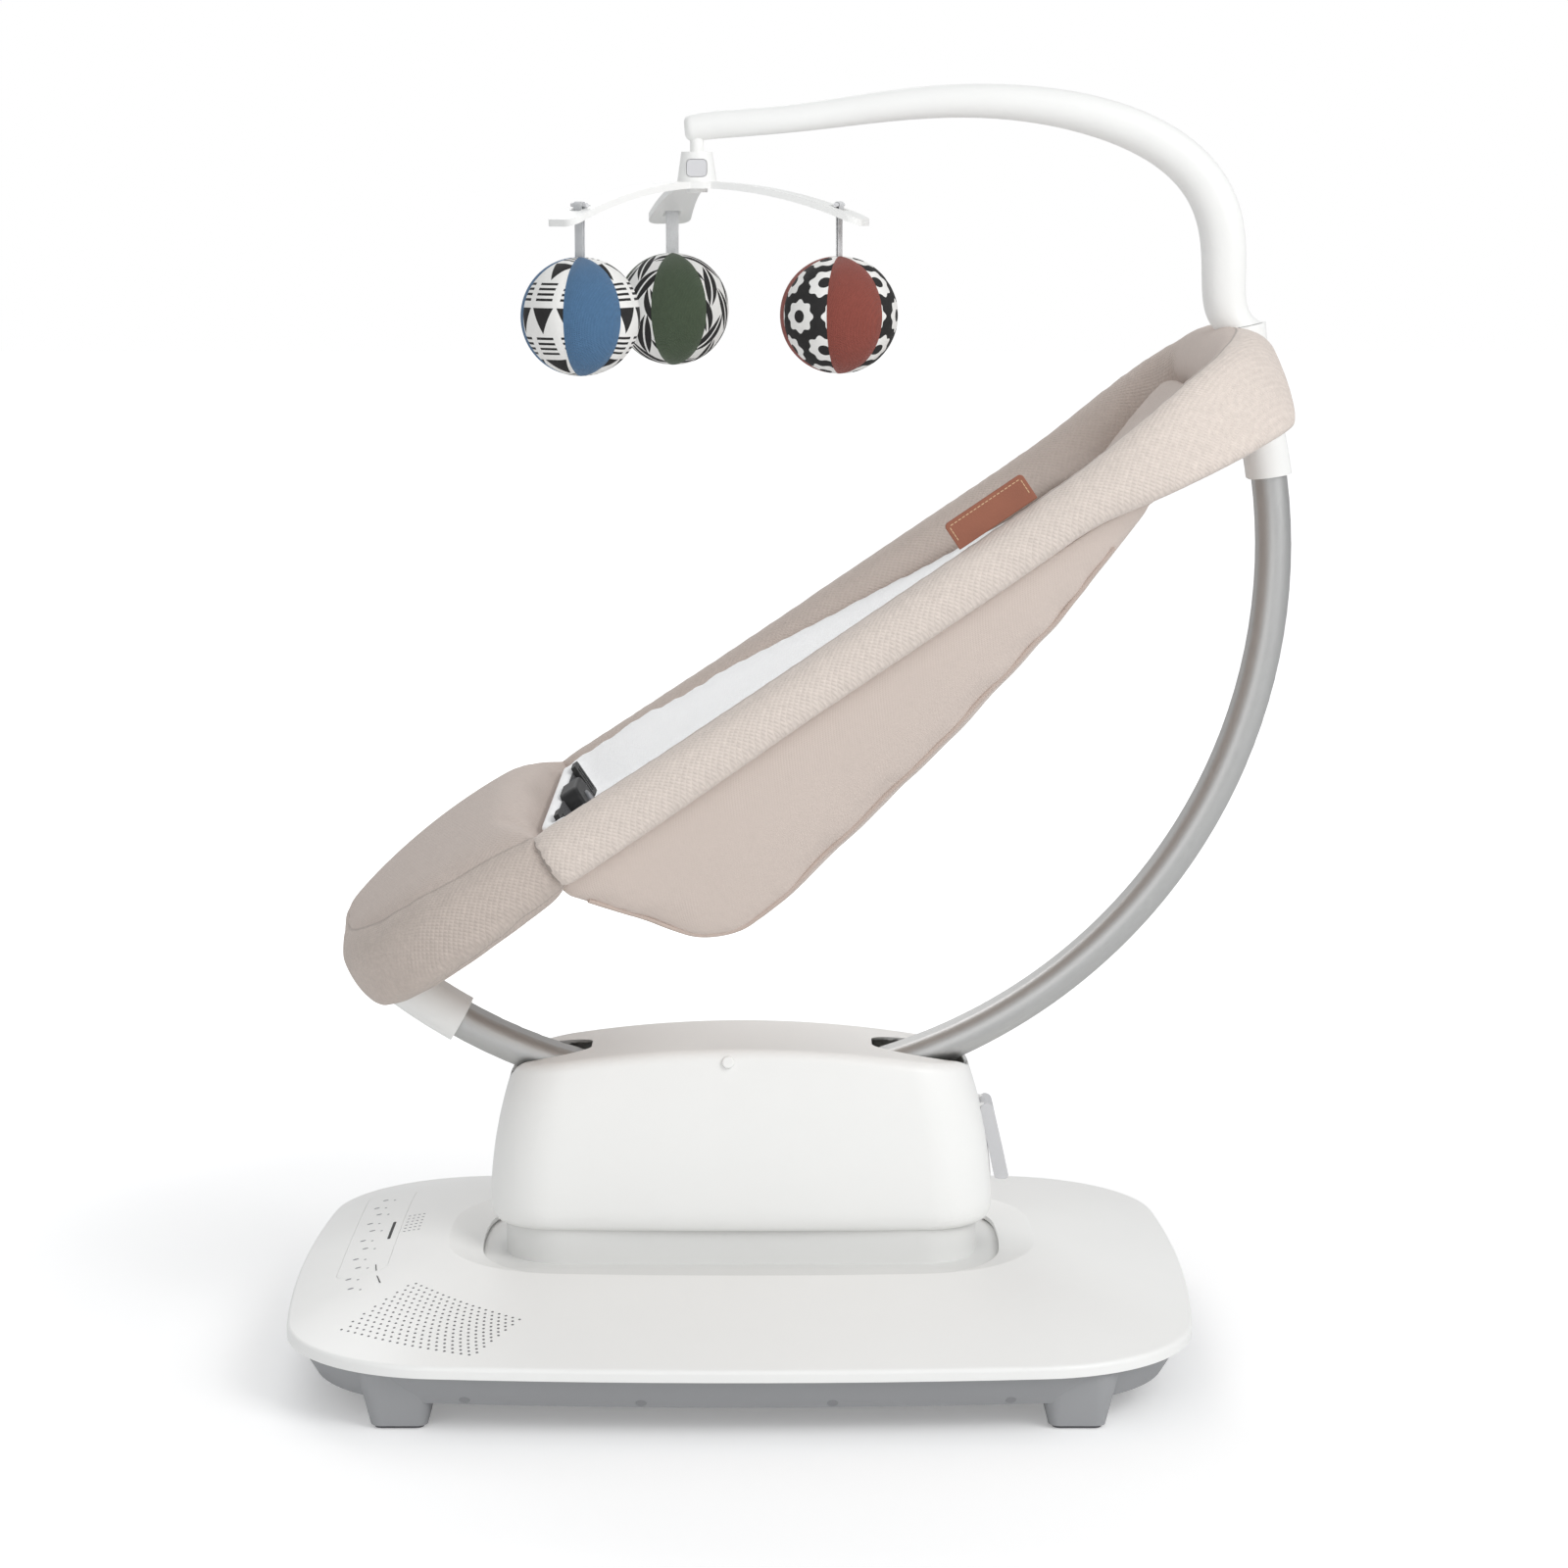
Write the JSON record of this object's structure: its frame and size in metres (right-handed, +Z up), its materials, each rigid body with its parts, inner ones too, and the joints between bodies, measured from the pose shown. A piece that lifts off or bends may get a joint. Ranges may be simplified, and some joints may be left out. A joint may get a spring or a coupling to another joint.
{
  "type": "baby swing",
  "caption": "Powered baby swing: padded reclining seat on a curved rail through a swaying, bouncing tower on a domed base, with a swivel arm and ball mobile.",
  "frame": {"origin": "middle of the bounding box, on the floor", "axes": "+Z up, +X from the foot end of the seat to its head end, +Y to the back of the view in the picture"},
  "size_m": [0.665, 0.495, 0.8408],
  "materials": {
    "white_plastic": "satin white moulded plastic",
    "grey_plastic": "light grey matte plastic",
    "lever_grey": "pale grey matte plastic",
    "rubber_pad": "soft grey rubber",
    "bright_steel": "ground steel rod",
    "rail_aluminium": "satin anodised tube",
    "frame_tube": "painted steel tube",
    "rim_fabric": "beige padded knit",
    "foot_fabric": "taupe padded knit",
    "bucket_fabric": "smooth beige woven cloth",
    "liner_fabric": "white quilted cotton",
    "webbing": "dark grey woven webbing",
    "black_plastic": "black moulded plastic",
    "button_grey": "mid grey moulded plastic",
    "tag_leather": "brown stitched leather",
    "nylon": "natural nylon",
    "circuit_board": "green board",
    "clip_grey": "grey moulded plastic",
    "ribbon_grey": "grey woven ribbon",
    "ball_red_cloth": "brick red linen",
    "ball_green_cloth": "green linen",
    "ball_blue_cloth": "blue linen"
  },
  "bodies": {
    "base": {"base_tray": "grey_plastic", "foot_pads": "rubber_pad", "base_screws": "bright_steel", "base_cover": "white_plastic", "control_panel": "white_plastic", "control_board": "circuit_board", "speaker": "black_plastic", "dc_inlet": "black_plastic", "sway_rods": "bright_steel", "rod_blocks": "nylon", "sway_motor": "bright_steel"},
    "sway_drive": {"sway_gear": "nylon"},
    "carriage_body": {"carriage": "nylon", "rod_bushes": "nylon", "sway_rack": "nylon", "guide_columns": "bright_steel", "sliding_skirt": "white_plastic", "lift_motor": "bright_steel"},
    "lift_drive": {"lift_gear": "nylon"},
    "tower": {"tower_housing": "white_plastic", "tower_chassis": "nylon", "column_bushes": "nylon", "lift_rack": "nylon", "rail_saddles": "nylon", "lever_pin": "bright_steel"},
    "brake": {"brake_shoe": "black_plastic"},
    "lever": {"recline_lever": "lever_grey"},
    "seat": {"arc_rail": "rail_aluminium", "seat_frame": "frame_tube", "foot_hub": "white_plastic", "head_hub": "white_plastic", "rim_cover": "rim_fabric", "foot_cover": "foot_fabric", "seat_bucket": "bucket_fabric", "seat_liner": "liner_fabric", "harness_buckle": "black_plastic", "crotch_strap": "webbing", "waist_straps": "webbing", "strap_sliders": "black_plastic", "side_tag": "tag_leather"},
    "button": {"buckle_button": "button_grey"},
    "arm": {"toy_arm": "white_plastic", "mobile_pin": "white_plastic"},
    "mobile": {"mobile_spider": "white_plastic", "hub_clip": "clip_grey"},
    "toy_red": {"ribbon_red": "ribbon_grey", "ball_red": "ball_red_cloth"},
    "toy_green": {"ribbon_green": "ribbon_grey", "ball_green": "ball_green_cloth"},
    "toy_blue": {"ribbon_blue": "ribbon_grey", "ball_blue": "ball_blue_cloth"}
  },
  "joints": [
    {"name": "sway", "type": "slide", "parent": "base", "child": "carriage_body", "axis": [0, 1, 0], "range_m": [-0.038, 0.038]},
    {"name": "sway_gear_spin", "type": "hinge", "parent": "base", "child": "sway_drive", "pos_m": [-0.0725, 0, 0.03], "axis": [0, 0, 1], "range_deg": [-162, 162]},
    {"name": "bounce", "type": "slide", "parent": "carriage_body", "child": "tower", "axis": [0, 0, 1], "range_m": [0, 0.038]},
    {"name": "lift_gear_spin", "type": "hinge", "parent": "carriage_body", "child": "lift_drive", "pos_m": [-0.0225, 0, 0.085], "axis": [0, -1, 0], "range_deg": [0, 162]},
    {"name": "recline", "type": "hinge", "parent": "tower", "child": "seat", "pos_m": [-0.0415, 0, 0.533], "axis": [0, 1, 0], "range_deg": [0, 14]},
    {"name": "recline_lock", "type": "hinge", "parent": "tower", "child": "lever", "pos_m": [0.1336, 0, 0.158], "axis": [0, -1, 0], "range_deg": [0, 45]},
    {"name": "brake_release", "type": "slide", "parent": "tower", "child": "brake", "axis": [1, 0, 0], "range_m": [0, 0.0016]},
    {"name": "arm_swivel", "type": "hinge", "parent": "seat", "child": "arm", "pos_m": [0.2964, 0, 0.6834], "axis": [-0.1908, 0, 0.9816], "range_deg": [-90, 90]},
    {"name": "mobile_spin", "type": "hinge", "parent": "arm", "child": "mobile", "pos_m": [-0.0605, 0, 0.778], "axis": [0, 0, 1], "continuous": true},
    {"name": "button_press", "type": "slide", "parent": "seat", "child": "button", "axis": [-0.8281, 0, -0.5606], "range_m": [0, 0.0025], "stiffness_N_per_m": 400, "springref_m": -0.002},
    {"name": "swing_red", "type": "hinge", "parent": "mobile", "child": "toy_red", "pos_m": [0.03227, -0.03158, 0.76285], "axis": [0.3223, 0.9466, 0], "range_deg": [-25, 25]},
    {"name": "swing_green", "type": "hinge", "parent": "mobile", "child": "toy_green", "pos_m": [-0.07953, 0.09613, 0.76285], "axis": [-0.981, -0.1942, 0], "range_deg": [-25, 25]},
    {"name": "swing_blue", "type": "hinge", "parent": "mobile", "child": "toy_blue", "pos_m": [-0.13424, -0.06455, 0.76285], "axis": [0.6587, -0.7524, 0], "range_deg": [-25, 25]}
  ],
  "couplings": [
    {"joint": "sway_gear_spin", "follows": "sway", "rad_per_m": 74.074},
    {"joint": "lift_gear_spin", "follows": "bounce", "rad_per_m": 74.074},
    {"joint": "brake_release", "follows": "recline_lock", "m_per_rad": 0.0019099}
  ]
}
